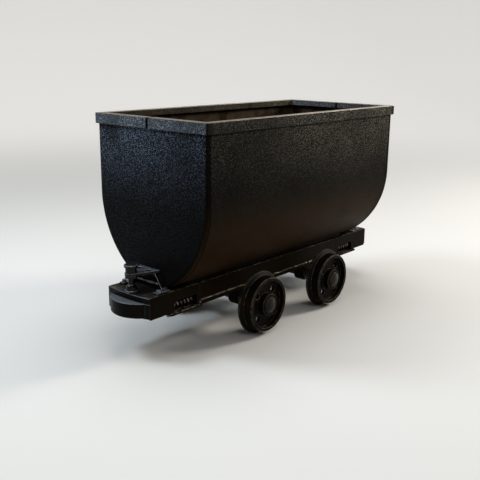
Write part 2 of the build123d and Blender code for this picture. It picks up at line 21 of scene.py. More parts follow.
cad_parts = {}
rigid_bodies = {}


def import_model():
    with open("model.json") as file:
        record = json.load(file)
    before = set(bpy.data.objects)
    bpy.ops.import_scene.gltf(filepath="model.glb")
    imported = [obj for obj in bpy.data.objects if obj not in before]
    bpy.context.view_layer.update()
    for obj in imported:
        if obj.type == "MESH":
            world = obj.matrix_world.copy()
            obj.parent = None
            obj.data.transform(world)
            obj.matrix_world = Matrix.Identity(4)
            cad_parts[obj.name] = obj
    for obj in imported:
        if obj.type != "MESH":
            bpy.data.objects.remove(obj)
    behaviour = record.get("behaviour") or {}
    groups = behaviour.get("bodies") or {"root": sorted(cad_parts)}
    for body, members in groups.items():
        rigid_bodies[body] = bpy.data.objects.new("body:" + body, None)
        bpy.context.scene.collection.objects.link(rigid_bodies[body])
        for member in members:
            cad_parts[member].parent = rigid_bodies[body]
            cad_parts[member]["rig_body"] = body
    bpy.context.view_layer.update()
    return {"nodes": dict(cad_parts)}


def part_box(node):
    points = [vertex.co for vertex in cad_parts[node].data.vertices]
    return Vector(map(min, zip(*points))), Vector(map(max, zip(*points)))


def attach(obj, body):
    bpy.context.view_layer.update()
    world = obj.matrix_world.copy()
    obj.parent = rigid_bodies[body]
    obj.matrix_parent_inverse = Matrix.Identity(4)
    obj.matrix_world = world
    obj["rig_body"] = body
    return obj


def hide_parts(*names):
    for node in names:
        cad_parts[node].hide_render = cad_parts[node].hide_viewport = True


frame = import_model()
MM = 0.001
NODES = frame["nodes"]
print("solids in the frame:", len(NODES))

# %% [markdown]
# # Camera
# The camera stands where the photographer stood: a little above the rim, off the front
# left corner. A camera in Blender looks down its own -Z, so standing it up is a turn of 90
# degrees about X, less the dip. The focal length was found in pixels of a square picture,
# and the lens is that share of the sensor's width.

# %% Place the camera
CAMERA_AT = (-3.098, -2.565, 1.461)
CAMERA_TURN = 49.06
CAMERA_DIP = 14.73
CAMERA_ROLL = 0.59
SENSOR = 36
FOCAL_PIXELS = 711.6
PICTURE_PIXELS = 480

camera_data = bpy.data.cameras.new("camera")
camera_data.sensor_width = SENSOR
camera_data.lens = FOCAL_PIXELS / PICTURE_PIXELS * SENSOR
camera = bpy.data.objects.new("camera", camera_data)
stand = Matrix.Rotation(math.radians(-CAMERA_TURN), 4, "Z")
tilt = Matrix.Rotation(math.radians(90 - CAMERA_DIP), 4, "X")
roll = Matrix.Rotation(math.radians(CAMERA_ROLL), 4, "Z")
camera.matrix_world = Matrix.Translation(CAMERA_AT) @ stand @ tilt @ roll
bpy.context.scene.collection.objects.link(camera)
bpy.context.scene.camera = camera
bpy.context.scene.view_settings.view_transform = "Standard"
print("lens:", round(camera_data.lens, 2), "mm")

# %% [markdown]
# # Shader maths as plain expressions
# A finish is a small calculation: how dark is the paint here, how much dust lies on it,
# how rough is it. Blender keeps such a calculation as nodes. Writing nodes and links by
# hand hides the sum behind the wiring, so one class stands for a value on its way through
# the nodes, and its operators add the Math nodes.

# %% Values that add their own nodes
class Value:
    """A number, vector or colour on its way through a finish."""

    def __init__(self, finish, socket):
        self.finish = finish
        self.socket = socket

    def maths(self, operation, first, second):
        return self.finish.node("Math", {"operation": operation}, {0: first, 1: second})

    def __add__(self, other):
        return self.maths("ADD", self, other)

    def __radd__(self, other):
        return self.maths("ADD", other, self)

    def __sub__(self, other):
        return self.maths("SUBTRACT", self, other)

    def __rsub__(self, other):
        return self.maths("SUBTRACT", other, self)

    def __mul__(self, other):
        return self.maths("MULTIPLY", self, other)

    def __rmul__(self, other):
        return self.maths("MULTIPLY", other, self)

    def __abs__(self):
        return self.finish.node("Math", {"operation": "ABSOLUTE"}, {0: self})


# %% [markdown]
# # A finish and its nodes
# A second class stands for the finish itself. It holds the node tree, adds any other node
# by one call, and feeds the shader. Noise, ramps and the rest are calls with plain names,
# because a finish is then read as what it is made of, and not as a list of settings. A
# screen's numbers are not the ones that a shader takes, so `shade` turns one into the other.

# %% A finish and the calls that build it
MIX_COLOUR = {"factor": 0, "first": 6, "second": 7, "result": 2}    # a Mix node's sockets
SIDEWAYS_RAMP = (0.25, 0.75)
PEBBLE_SOFTNESS = 0.5


class Finish:
    """One material, its shader, and the calls that add its nodes."""

    def __init__(self, name):
        self.material = bpy.data.materials.new(name)
        self.material.use_nodes = True
        self.nodes = self.material.node_tree.nodes
        self.nodes.clear()
        self.shader = self.nodes.new("ShaderNodeBsdfPrincipled")
        output = self.nodes.new("ShaderNodeOutputMaterial")
        self.material.node_tree.links.new(self.shader.outputs[0], output.inputs[0])
        self.place = self.node("TexCoord", output="Object")
        self.facing = self.facing_along("Z")

    def node(self, kind, settings=None, sockets=None, output=0):
        """Add one node, set it, feed its sockets and return one of its outputs."""
        node = self.nodes.new("ShaderNode" + kind)
        for name, value in (settings or {}).items():
            setattr(node, name, value)
        for name, value in (sockets or {}).items():
            self.feed(node.inputs[name], value)
        return Value(self, node.outputs[output])

    def feed(self, socket, value):
        """Link a value to a socket, or set a plain number on it."""
        if isinstance(value, Value):
            self.material.node_tree.links.new(value.socket, socket)
        else:
            socket.default_value = value

    def mix(self, share, first, second):
        """A colour between two, by a share from 0 to 1."""
        sockets = {MIX_COLOUR["factor"]: share, MIX_COLOUR["first"]: first,
                   MIX_COLOUR["second"]: second}
        return self.node("Mix", {"data_type": "RGBA"}, sockets, output=MIX_COLOUR["result"])

    def ramp(self, value, start, full):
        """0 up to the start, 1 past the full mark and a smooth rise between the two."""
        return self.node("MapRange", {"interpolation_type": "SMOOTHSTEP"},
                         {"Value": value, "From Min": start, "From Max": full})

    def stretched(self, scale, shift=(0, 0, 0)):
        """The place on the piece, stretched along its axes and shifted."""
        return self.node("Mapping", {}, {"Vector": self.place, "Scale": scale, "Location": shift})

    def cloud(self, scale, detail, place=None):
        """Soft noise with so many lumps to the metre."""
        return self.node("TexNoise", {}, {"Vector": place or self.place, "Scale": scale,
                                          "Detail": detail})

    def pebbles(self, scale):
        """Round cells with so many to the metre, low at their middles."""
        return self.node("TexVoronoi", {"feature": "SMOOTH_F1"},
                         {"Vector": self.place, "Scale": scale, "Smoothness": PEBBLE_SOFTNESS})

    def facing_along(self, part):
        """How far the surface looks along X, Y or Z, from -1 to 1."""
        return self.node("SeparateXYZ", {}, {0: self.node("TexCoord", output="Normal")},
                         output=part)

    def sideways(self):
        """1 where the surface looks to either side of the car and 0 where it looks along it."""
        return self.ramp(abs(self.facing_along("Y")), *SIDEWAYS_RAMP)

    def worn_edge(self):
        """1 on the rounded edges of a softened solid and 0 elsewhere."""
        return self.node("Attribute", {"attribute_name": "worn"}, output="Fac")

    def place_along(self, part):
        """How far the place lies along X, Y or Z, in metres from the origin."""
        return self.node("SeparateXYZ", {}, {0: self.place}, output=part)

    def bumped(self, height):
        """The surface's normal, tilted by a height in metres."""
        return self.node("Bump", {}, {"Height": height, "Distance": 1.0, "Strength": 1.0})

    def dress(self, colour, roughness, specular, metallic=0.0, normal=None):
        """Feed the shader, and return the finished material."""
        self.feed(self.shader.inputs["Base Color"], colour)
        self.feed(self.shader.inputs["Roughness"], roughness)
        self.shader.inputs["Specular IOR Level"].default_value = specular
        self.feed(self.shader.inputs["Metallic"], metallic)
        if normal is not None:
            self.feed(self.shader.inputs["Normal"], normal)
        return self.material


def shade(red, green, blue):
    """A colour as it looks on a screen, 0 to 255, in the linear numbers that a shader takes."""
    def linear(level):
        share = level / 255
        return share / 12.92 if share <= 0.04045 else ((share + 0.055) / 1.055) ** 2.4
    return linear(red), linear(green), linear(blue), 1.0


print("a mid grey of 128 is", round(shade(128, 128, 128)[0], 3), "in a shader's numbers")

# %% [markdown]
# # Floor and backdrop
# The car stands in a plain pale bowl: a flat floor that rises in a smooth curve into a low
# wall. A bent sheet behind the car would do for one view, but a bowl gives every view the
# same seamless ground, and two spins of a few points make it. The camera and the
# reflections see it pale, with a faint glow of its own far from the car where the lamps
# don't reach, while the light that it throws back onto the car is dimmer, because a black
# car on white paper would otherwise be lit from below.

# %% Make the bowl
FLOOR_R = 9.0
RISE_R = 3.0
WALL_H = 2.0
RISE_STEPS = 16
BOWL_STEPS = 96
BOWL_MERGE = 0.0001
PALE = shade(228, 227, 224)
DIM = shade(104, 102, 98)
BLACK = (0, 0, 0, 1)
GLOW = shade(190, 189, 186)
GLOW_FROM_R = 2.6
GLOW_FULL_R = 10.0
PAPER_ROUGH = 0.95
PAPER_SPECULAR = 0.1


def smoothed(bm):
    """Shade every face as part of one smooth surface."""
    for face in bm.faces:
        face.smooth = True


def piece_from(bm, name, material):
    """Turn a finished bmesh into an object at the origin."""
    mesh = bpy.data.meshes.new(name)
    bm.to_mesh(mesh)
    bm.free()
    mesh.materials.append(material)
    piece = bpy.data.objects.new(name, mesh)
    bpy.context.scene.collection.objects.link(piece)
    return piece


def studio_paint():
    """Pale to the camera and to reflections, dimmer to the light that bounces."""
    finish = Finish("studio_paper")
    rays = finish.nodes.new("ShaderNodeLightPath").outputs
    seen = Value(finish, rays["Is Camera Ray"]) + Value(finish, rays["Is Glossy Ray"])
    seen = seen + Value(finish, rays["Is Transmission Ray"])
    from_middle = finish.node("VectorMath", {"operation": "LENGTH"}, {0: finish.place},
                              output="Value")
    glow = seen * finish.ramp(from_middle, GLOW_FROM_R, GLOW_FULL_R)
    finish.feed(finish.shader.inputs["Emission Color"], finish.mix(glow, BLACK, GLOW))
    finish.shader.inputs["Emission Strength"].default_value = 1.0
    return finish.dress(finish.mix(seen, DIM, PALE), PAPER_ROUGH, PAPER_SPECULAR)


def bowl():
    """A disc whose rim curves up into a wall, by two spins of a few points."""
    bm = bmesh.new()
    centre = bm.verts.new((0, 0, 0))
    edge = bm.verts.new((FLOOR_R, 0, 0))
    bm.edges.new((centre, edge))
    curve = bmesh.ops.spin(bm, geom=[edge], cent=(FLOOR_R, 0, RISE_R), axis=(0, -1, 0),
                           angle=math.radians(90), steps=RISE_STEPS)
    top = [item for item in curve["geom_last"] if isinstance(item, bmesh.types.BMVert)]
    wall = bmesh.ops.extrude_vert_indiv(bm, verts=top)
    bmesh.ops.translate(bm, verts=wall["verts"], vec=(0, 0, WALL_H))
    bmesh.ops.spin(bm, geom=bm.verts[:] + bm.edges[:], cent=(0, 0, 0), axis=(0, 0, 1),
                   angle=math.radians(360), steps=BOWL_STEPS, use_merge=True)
    bmesh.ops.remove_doubles(bm, verts=bm.verts, dist=BOWL_MERGE)
    bmesh.ops.recalc_face_normals(bm, faces=bm.faces)
    bmesh.ops.reverse_faces(bm, faces=bm.faces)
    smoothed(bm)
    return piece_from(bm, "studio_bowl", studio_paint())


studio = bowl()
print("bowl faces:", len(studio.data.polygons))

# %% [markdown]
# # Lamps
# Small lamps would throw hard shadows, so these are large soft squares. They hang high, so
# that they graze the upright plates and only the lumps of the paint catch them: a cool one
# for the end, a warm one for the long side, and two plain ones above and in front. The air
# gives a little light from all round, for the sides that no lamp reaches.

# %% Hang the lamps
AIM = Vector((0, 0, 0.7))
LAMPS = (                 # name, place in metres, size, watts, colour
    ("cool_lamp_end", (-2.6, 2.4, 4.6), 1.6, 130, (0.82, 0.92, 1.0)),
    ("warm_lamp_side", (5.2, -2.8, 3.6), 1.6, 250, (1.0, 0.95, 0.87)),
    ("front_lamp", (-3.2, -4.0, 4.8), 2.4, 40, (1.0, 0.97, 0.93)),
    ("top_lamp", (0.3, 0.3, 5.5), 3.0, 125, (0.96, 0.98, 1.0)),
)
WORLD_GREY = (0.80, 0.80, 0.79, 1.0)
WORLD_STRENGTH = 0.36

for name, place, size, watts, colour in LAMPS:
    lamp_data = bpy.data.lights.new(name, "AREA")
    lamp_data.size = size
    lamp_data.energy = watts
    lamp_data.color = colour
    lamp = bpy.data.objects.new(name, lamp_data)
    lamp.location = place
    lamp.rotation_euler = (AIM - Vector(place)).to_track_quat("-Z", "Y").to_euler()
    lamp.visible_camera = False
    bpy.context.scene.collection.objects.link(lamp)

world = bpy.data.worlds.new("studio_air")
world.use_nodes = True
air = world.node_tree.nodes["Background"]
air.inputs["Color"].default_value = WORLD_GREY
air.inputs["Strength"].default_value = WORLD_STRENGTH
bpy.context.scene.world = world
print("lamps:", len(LAMPS))

# %% [markdown]
# # Painted plate
# The tub has a thick near-black paint that dried with a pebbled skin, with lumps some six
# millimetres apart that sparkle in low light. They could be modelled, but so many are best
# left to bump. Round cells make the pebbles, and a finer noise roughens them. The highest
# places, the tips, are painted lighter, a painted sparkle of light on the lumps, and broad
# clouds decide where much of it shows. Painted shade dulls the tips low down, on the end
# plate's bend, towards the front of a side and on the near half of an end. A noise is named
# here by its lumps to the metre and its detail, and a ramp by where it starts and where it
# is full.

# %% The pebbled skin
GRAIN_SHARE, GRAIN_DETAIL = 2.1, 3.0     # the finer noise, as a share of the lumps to the metre
GRAIN_DEPTH = 0.8
CLUSTER_SHARE, CLUSTER_DETAIL = 0.5, 2.0
CLUSTER_RAMP = (0.2, 0.6)
TIP_RAMP = (-0.06, 0.2)
TIP_SHARE = 0.85
PAINTED_SHEEN = 0.05               # how much of the tips' painted sparkle the hollows show, a painted sheen
BROAD_RAMP = (0.15, 0.6)
# Painted shade on the tips: duller low down, on the end plate's bend, towards a side's front and
# on an end's near half.
LOW_SHADE_HIDES = 0.85
BEND_RAMP, BEND_HIDES = (0.783, 0.79), 0.85    # along the car, painted shade on the end plate's smooth bend
FORE_RAMP, FORE_HIDES = (0.78, -0.75), 0.66    # along the car, painted shade on a side's front
NEAR_HIDES = 0.3


def sparkle(finish, lumps):
    """Pebbled lumps as a height, and the share of each place that is a tip lit with painted
    sparkle.
    """
    grain = finish.cloud(lumps * GRAIN_SHARE, GRAIN_DETAIL)
    lump = grain * GRAIN_DEPTH - finish.pebbles(lumps)
    cluster = finish.ramp(finish.cloud(lumps * CLUSTER_SHARE, CLUSTER_DETAIL), *CLUSTER_RAMP)
    return lump, finish.ramp(lump, *TIP_RAMP) * cluster


def painted_sparkle_and_shade(finish, tips, broad, side, low_shade, near):
    """How much of the tips' painted sparkle shows at each place, less where painted shade lies."""
    bend = finish.ramp(abs(finish.place_along("X")), *BEND_RAMP) * side
    fore = finish.ramp(finish.place_along("X"), *FORE_RAMP) * side
    shown = (tips * TIP_SHARE + PAINTED_SHEEN) * finish.ramp(broad, *BROAD_RAMP)
    shown = shown * (1.0 - low_shade * LOW_SHADE_HIDES) * (1.0 - bend * BEND_HIDES)
    return shown * (1.0 - fore * FORE_HIDES) * (1.0 - near * NEAR_HIDES)


# %% [markdown]
# # Rain, painted shade, mud and bounce light
# What age has done lies on the paint in layers. Rain has left pale streaks down the walls.
# A painted shade darkens the paint towards the bottom and on the near half of an end. On
# the lower sides a warm brown is mud together with painted warm light bounced up from the
# ground. Each could be a picture laid on the plate, but a picture ends or repeats, while a
# noise goes on for ever. So each layer is a colour over the one before, by a share that is
# worked out from where a place is on the car and which way it faces.

# %% Weather and painted shade on the paint
DUST = shade(72, 63, 49)
PAINTED_SHADE = shade(14, 12, 8)
MUD_AND_BOUNCE = shade(70, 51, 30)
RAIN = (24, 24, 1.6)      # noise to the metre for the streaks: fine across, long down
RAIN_DETAIL, RAIN_RAMP = 4.0, (0.5, 0.78)
LOW_SHADE_SHARE, NEAR_SHADE_SHARE = 0.5, 0.24
MUD_AND_BOUNCE_RAMP = (0.84, 0.44)   # heights between which mud and painted warm bounce light thicken
MUD_AND_BOUNCE_NOISE, MUD_AND_BOUNCE_PATCHES = (3.4, 6.0), (0.0, 0.56)


def weathered_and_shaded(finish, tint, side, low_shade, near, streaks, mud_and_bounce_share):
    """Streaks down the walls, painted shade low down and on an end's near half, and mud with
    painted warm bounce light on the lower sides.
    """
    drip = finish.ramp(finish.cloud(1.0, RAIN_DETAIL, finish.stretched(RAIN)), *RAIN_RAMP)
    tint = finish.mix(drip * streaks, tint, DUST)
    # Painted shade: darker towards the bottom, and on the near half of an end.
    tint = finish.mix(low_shade * LOW_SHADE_SHARE, tint, PAINTED_SHADE)
    tint = finish.mix(near * NEAR_SHADE_SHARE, tint, PAINTED_SHADE)
    # Mud together with painted warm light bounced up from the ground, on the lower sides.
    mud_and_bounce = finish.ramp(finish.place_along("Z"), *MUD_AND_BOUNCE_RAMP) * side
    mud_and_bounce = mud_and_bounce * finish.ramp(finish.cloud(*MUD_AND_BOUNCE_NOISE), *MUD_AND_BOUNCE_PATCHES)
    return finish.mix(mud_and_bounce * mud_and_bounce_share, tint, MUD_AND_BOUNCE)


# %% [markdown]
# # Worn edges
# Paint goes first where a plate is touched, which is at its edges. Blender can find edges
# from how sharply a mesh turns, but only on a dense mesh. Here the cell that rounds an edge
# also marks it, and the finish reads that mark. An edge isn't bare all along: a fine noise
# chips it, a broad one picks the stretches that wear, and rust creeps out from what is
# bare. On the tub and its rim the rubbed edges also get a painted highlight that grows
# brighter towards the rear.

# %% Rubbed edges
RUST = shade(58, 38, 25)
AFT_HIGHLIGHT = shade(232, 222, 206)
CHIP_NOISE, CHIP_SHARE = (46, 5.0), 0.7
SPAN_NOISE, SPAN_SHARE = (5, 3.0), 0.3         # the longer stretches of an edge that wear
UPPER_RAMP = (-0.15, 0.5)                      # how far up a face looks
RUBBED_RAMP, HALO_RAMP = (0.66, 0.76), (0.5, 0.66)
WEAR_MOVES = (0.4, 0.3)                        # how far full wear lowers a ramp's two marks
HALO_SHARE = 0.5
AFT_RAMP = (-1.0, 0.5)                         # along the car, from the front to the rear


def worn_edges(finish, tint, bright, wear, aft_highlight):
    """Edges rubbed bright in a halo of rust, with a painted highlight towards the rear where
    asked, and how far they are rubbed.
    """
    edge = finish.worn_edge() * finish.ramp(finish.facing, *UPPER_RAMP)
    chips = finish.cloud(*CHIP_NOISE) * CHIP_SHARE + finish.cloud(*SPAN_NOISE) * SPAN_SHARE
    low_move, high_move = (wear * move for move in WEAR_MOVES)
    rubbed = edge * finish.ramp(chips, RUBBED_RAMP[0] - low_move, RUBBED_RAMP[1] - high_move)
    halo = edge * finish.ramp(chips, HALO_RAMP[0] - low_move, HALO_RAMP[1] - high_move)
    tint = finish.mix(halo * (HALO_SHARE * wear), tint, RUST)
    tint = finish.mix(rubbed, tint, bright)
    # Painted highlight: on the tub and its rim the rubbed edges grow brighter towards the rear.
    if aft_highlight:
        aft = finish.ramp(finish.place_along("X"), *AFT_RAMP)
        tint = finish.mix(rubbed * aft * aft_highlight, tint, AFT_HIGHLIGHT)
    return tint, rubbed


# %% [markdown]
# # Inside the tub
# Ore has taken the paint off the inside. The same sheet is the wall's two faces, so the
# finish has to tell them apart: where the surface looks back at the line through the tub's
# middle, it is an inner face. A second material on the inner faces would do as well, but a
# rounded edge has no clear side, while this share fades over it.

# %% The lining
ORE_DUST = shade(70, 61, 48)
DARK_RUST = shade(45, 30, 20)
ORE_FINES = shade(104, 94, 78)
TUB_AXIS_Z = 0.75         # the height of the line through the tub's middle
WITHIN_RAMP = (0.0, 0.05)
RUST_NOISE, RUST_RAMP = (11, 10.0), (0.42, 0.6)
SCRAPES = (120, 90, 14)   # noise to the metre for what sliding ore leaves
SCRAPE_DETAIL, SCRAPE_RAMP, SCRAPE_SHARE = 6.0, (0.56, 0.64), 0.5
FINES_NOISE, FINES_RAMP = (170, 3.0), (0.48, 0.62)
RESTING_RAMP = (0.25, 0.9)
FINES_RESTING, FINES_CLINGING = 0.55, 0.15
LINING_DULL = 0.9


def scoured(finish, tint, settled, share):
    """Brown dust, rust, scrapes and fines on the inner faces, and how dull they are."""
    middle = finish.node("VectorMath", {"operation": "SUBTRACT"},
                         {0: finish.place, 1: (0, 0, TUB_AXIS_Z)}, output="Vector")
    outward = finish.node("VectorMath", {"operation": "DOT_PRODUCT"},
                          {0: middle, 1: finish.node("TexCoord", output="Normal")}, output="Value")
    within = finish.ramp(outward * -1.0, *WITHIN_RAMP) * share
    patch = finish.ramp(finish.cloud(*RUST_NOISE), *RUST_RAMP)
    scrape = finish.cloud(1.0, SCRAPE_DETAIL, finish.stretched(SCRAPES))
    fines = finish.ramp(finish.cloud(*FINES_NOISE), *FINES_RAMP)
    resting = finish.ramp(finish.facing, *RESTING_RAMP)
    lining = finish.mix(patch, ORE_DUST, DARK_RUST)
    lining = finish.mix(finish.ramp(scrape, *SCRAPE_RAMP) * SCRAPE_SHARE, lining, DUST)
    lining = finish.mix(fines * (resting * FINES_RESTING + FINES_CLINGING), lining, ORE_FINES)
    return finish.mix(within, tint, lining), settled + within * LINING_DULL


# %% [markdown]
# # One paint from all the layers
# The layers go on in the order in which they came: hollows and tips, whose lighter colour
# is a painted sparkle, then weather with painted shade and painted bounce light, wear, dust,
# and on the tub its lining. On the tub and its rim the tips are tinted blue on the ends,
# and tips and hollows brown on the sides, a painted light of the cool and the warm lamp.
# What shows of the tips, of bare edges and of dust also sets how rough the paint is and how
# much it is like metal. The pebbles are bump, and so is a slow swell that keeps a large
# plate from looking like glass. Each part could have a paint of its own, but one function
# with a table of how far each layer goes keeps them alike.

# %% The paint
# Painted warm light: the tint of the tips and hollows on the sides of the tub and its rim.
WARM_LIT_TIP = shade(184, 177, 160)
WARM_LIT_HOLLOW = shade(13, 12, 10)
BROAD_NOISE = (2.6, 4.0)
BROAD_SHIFT = (0.2, 2.0, -0.4)
LOW_SHADE_RAMP = (1.12, 0.66)     # heights between which painted shade thickens towards the bottom
NEAR_RAMP = (0.25, -0.45)    # across the car, painted shade on an end's near half
# How far mud and painted warm bounce light go on the tub and on the frame.
TUB_MUD_AND_BOUNCE, FRAME_MUD_AND_BOUNCE = 0.9, 0.12
# How strong the painted highlight on the rubbed edges grows towards the rear.
AFT_HIGHLIGHT_SHARE = 0.62
DUST_NOISE, DUST_RAMP = (9, 6.0), (0.3, 0.75)
FACES_UP_RAMP = (0.25, 0.95)
BROAD_ROUGH, DUST_ROUGH, RUBBED_SMOOTH = 0.12, 0.3, 0.1
WORN_METAL = 0.45            # worn paint shows grey primer and steel, so it is half metal
TIP_METAL = 0.3
SWELL_NOISE, SWELL_DEPTH = (1.9, 1.0), 0.0054


def painted(name, low, sparkle_tint, bright, lumps, depth, gloss, dust, wear, streaks, specular, lining):
    """Paint with a pebbled skin and all that age has put on it."""
    finish = Finish(name)
    side = finish.sideways()
    lump, tips = sparkle(finish, lumps)
    broad = finish.cloud(*BROAD_NOISE, finish.stretched((1, 1, 1), BROAD_SHIFT))
    low_shade = finish.ramp(finish.place_along("Z"), *LOW_SHADE_RAMP)
    # Painted shade: the near half of each end is duller.
    near = finish.ramp(finish.place_along("Y"), *NEAR_RAMP) * (1.0 - side)
    shown = painted_sparkle_and_shade(finish, tips, broad, side, low_shade, near)
    mud_and_bounce_share, aft_highlight = FRAME_MUD_AND_BOUNCE, 0.0
    if lining:
        mud_and_bounce_share, aft_highlight = TUB_MUD_AND_BOUNCE, AFT_HIGHLIGHT_SHARE
        # Painted light: on the sides the hollows and tips take the warm lamp's tint, on the ends
        # the tips keep the cool one.
        low = finish.mix(side, low, WARM_LIT_HOLLOW)
        sparkle_tint = finish.mix(side, sparkle_tint, WARM_LIT_TIP)
    tint = finish.mix(shown, low, sparkle_tint)
    tint = weathered_and_shaded(finish, tint, side, low_shade, near, streaks, mud_and_bounce_share)
    tint, rubbed = worn_edges(finish, tint, bright, wear, aft_highlight)
    settled = finish.ramp(finish.facing, *FACES_UP_RAMP)
    settled = settled * finish.ramp(finish.cloud(*DUST_NOISE), *DUST_RAMP) * dust
    tint = finish.mix(settled, tint, DUST)
    if lining:
        tint, settled = scoured(finish, tint, settled, lining)
    rough = gloss + broad * BROAD_ROUGH + settled * DUST_ROUGH - rubbed * RUBBED_SMOOTH
    metal = rubbed * WORN_METAL + shown * TIP_METAL
    normal = finish.bumped(lump * depth + finish.cloud(*SWELL_NOISE) * SWELL_DEPTH)
    return finish.dress(tint, rough, specular, metal, normal)


# %% Mix the paints
MIXES = {
    # The tub's bluish tip colour is a painted sparkle of the cool lamp on the ends.
    "tub_paint": dict(
        low=shade(9, 9, 10), sparkle_tint=shade(178, 199, 229), bright=shade(96, 92, 84),
        lumps=175, depth=0.0015, gloss=0.34, dust=0.3, wear=0.2, streaks=0.10,
        specular=0.016, lining=1.0),
    # The rim has the tub's paint; its lighter, bluer hollows and tips are a painted sheen of light
    # on the band.
    "rim_paint": dict(
        low=shade(67, 75, 85), sparkle_tint=shade(222, 236, 252), bright=shade(128, 112, 88),
        lumps=165, depth=0.0014, gloss=0.34, dust=0.4, wear=0.9, streaks=0.05,
        specular=0.04, lining=0.5),
    "frame_paint": dict(
        low=shade(7, 7, 5), sparkle_tint=shade(20, 19, 15), bright=shade(124, 116, 104),
        lumps=190, depth=0.0006, gloss=0.34, dust=0.05, wear=0.6, streaks=0.06,
        specular=0.02, lining=0.0),
    # The bumper's bluish bright colour on its rubbed tops and edges is wear together with a
    # painted highlight of the cool lamp.
    "bumper_paint": dict(
        low=shade(5, 6, 6), sparkle_tint=shade(20, 21, 22), bright=shade(118, 124, 132),
        lumps=190, depth=0.0006, gloss=0.28, dust=0.015, wear=0.85, streaks=0.02,
        specular=0.045, lining=0.0),
    # As on the bumper, the bluish bright colour is wear together with a painted highlight of the
    # cool lamp.
    "gear_steel": dict(
        low=shade(4, 4, 5), sparkle_tint=shade(14, 16, 18), bright=shade(146, 153, 165),
        lumps=190, depth=0.00014, gloss=0.04, dust=0.0, wear=0.85, streaks=0.0,
        specular=0.15, lining=0.0),
}
PAINTS = {name: painted(name, **mix) for name, mix in MIXES.items()}
for name, paint in PAINTS.items():
    print(name, "has", len(paint.node_tree.nodes), "nodes")

# %% [markdown]
# # Bare steel
# Axles, pins, springs and bolts are plain steel, brown with age and dark with grease. Metal
# takes its colour from what it reflects, so one grey would do from afar, but patches, fine
# pits and a change in how rough it is make it look like metal up close. They come from one
# function, and a table has a row for each steel.

# %% Plain steels
STEEL = shade(120, 108, 88)
PATCH_NOISE, PATCH_RAMP = (28, 5.0), (0.35, 0.68)
PIT_NOISE, PIT_DEPTH = (350, 4.0), 0.0004
EDGE_NOISE, EDGE_RAMP, EDGE_SHARE = (70, 4.0), (0.3, 0.6), 0.6
PATCH_ROUGH, PIT_ROUGH = 0.18, 0.1
STEELS = (                # name, dark and light patches, how metallic, gloss, shine
    ("axle_steel", shade(22, 20, 17), shade(44, 40, 34), 0.4, 0.38, 0.5),
    ("cap_steel", shade(18, 12, 6), shade(42, 28, 15), 0.12, 0.12, 0.15),
    ("spring_steel", shade(44, 41, 36), shade(118, 113, 104), 0.7, 0.12, 0.5),
    ("pin_steel", shade(50, 52, 54), shade(116, 120, 125), 0.6, 0.2, 0.5),
)


def bare(name, dark, light, metal, gloss, specular):
    """Aged steel: dark and light patches, small pits and rounded edges rubbed bright."""
    finish = Finish(name)
    patch = finish.ramp(finish.cloud(*PATCH_NOISE), *PATCH_RAMP)
    pits = finish.cloud(*PIT_NOISE)
    rubbed = finish.worn_edge() * finish.ramp(finish.cloud(*EDGE_NOISE), *EDGE_RAMP)
    tint = finish.mix(rubbed * EDGE_SHARE, finish.mix(patch, dark, light), STEEL)
    rough = gloss + patch * PATCH_ROUGH + pits * PIT_ROUGH
    return finish.dress(tint, rough, specular, metal, finish.bumped(pits * PIT_DEPTH))


for row in STEELS:
    PAINTS[row[0]] = bare(*row)
print("plain steels:", len(STEELS))

# %% [markdown]
# # Cast wheels
# Wheels are cast in sand, so their skin is coarse and matt. A thin film of rust lies on it,
# and only the edges are rubbed to steel. The plain steel would be too smooth and too bright
# for them, so they have a finish of their own, in which one coarse noise is the colour, the
# roughness and the bump.

# %% Cast iron
IRON_DARK, IRON_LIGHT = shade(4, 4, 3), shade(13, 11, 8)
SKIN_NOISE, SKIN_RAMP, SKIN_DEPTH = (60, 6.0), (0.3, 0.7), 0.0012
FILM_NOISE, FILM_RAMP, FILM_SHARE = (7, 4.0), (0.45, 0.8), 0.25
CAST_EDGE_NOISE, CAST_EDGE_RAMP = (34, 4.0), (0.3, 0.65)
CAST_GLOSS, CAST_ROUGH, CAST_SPECULAR = 0.45, 0.2, 0.06


def wheel_iron():
    """Cast iron with a coarse skin, a film of rust and rubbed edges."""
    finish = Finish("wheel_iron")
    skin = finish.cloud(*SKIN_NOISE)
    film = finish.ramp(finish.cloud(*FILM_NOISE), *FILM_RAMP) * FILM_SHARE
    rubbed = finish.worn_edge() * finish.ramp(finish.cloud(*CAST_EDGE_NOISE), *CAST_EDGE_RAMP)
    rubbed = rubbed * EDGE_SHARE
    tint = finish.mix(finish.ramp(skin, *SKIN_RAMP), IRON_DARK, IRON_LIGHT)
    tint = finish.mix(rubbed, finish.mix(film, tint, RUST), STEEL)
    rough = CAST_GLOSS + skin * CAST_ROUGH - rubbed * CAST_ROUGH
    normal = finish.bumped(skin * SKIN_DEPTH)
    return finish.dress(tint, rough, CAST_SPECULAR, rubbed * WORN_METAL, normal)


PAINTS["wheel_iron"] = wheel_iron()
print("finishes:", sorted(PAINTS))

# %% [markdown]
# # Soft edges on the solids
# A solid comes as loose triangles. The copy has its doubles merged and its flat faces
# joined, so that only real edges are left, and the edges that turn by more than a set angle
# are bevelled. A bevel could be a modifier, but the operator hands back the new faces, and
# they are marked so that the paint knows where the edges are and can wear them. Where many
# short edges meet, a bevel can throw a point far out, so each point that ends up further
# from the solid than the bevel is wide is brought back to it.

# %% Soften a solid
HARD_TURN = math.radians(28)
FLAT_TURN = math.radians(0.4)
LEVEL = 0.97              # how far up a face points, from 0 to 1, to count as a top
MERGE = 0.00002
ROUND_STEPS = 2


def marked(bm, faces, share=1.0):
    """Mark faces for the finish to wear, by a share from 0 to 1."""
    layer = bm.loops.layers.float.get("worn") or bm.loops.layers.float.new("worn")
    for face in faces:
        for loop in face.loops:
            loop[layer] = max(loop[layer], share)


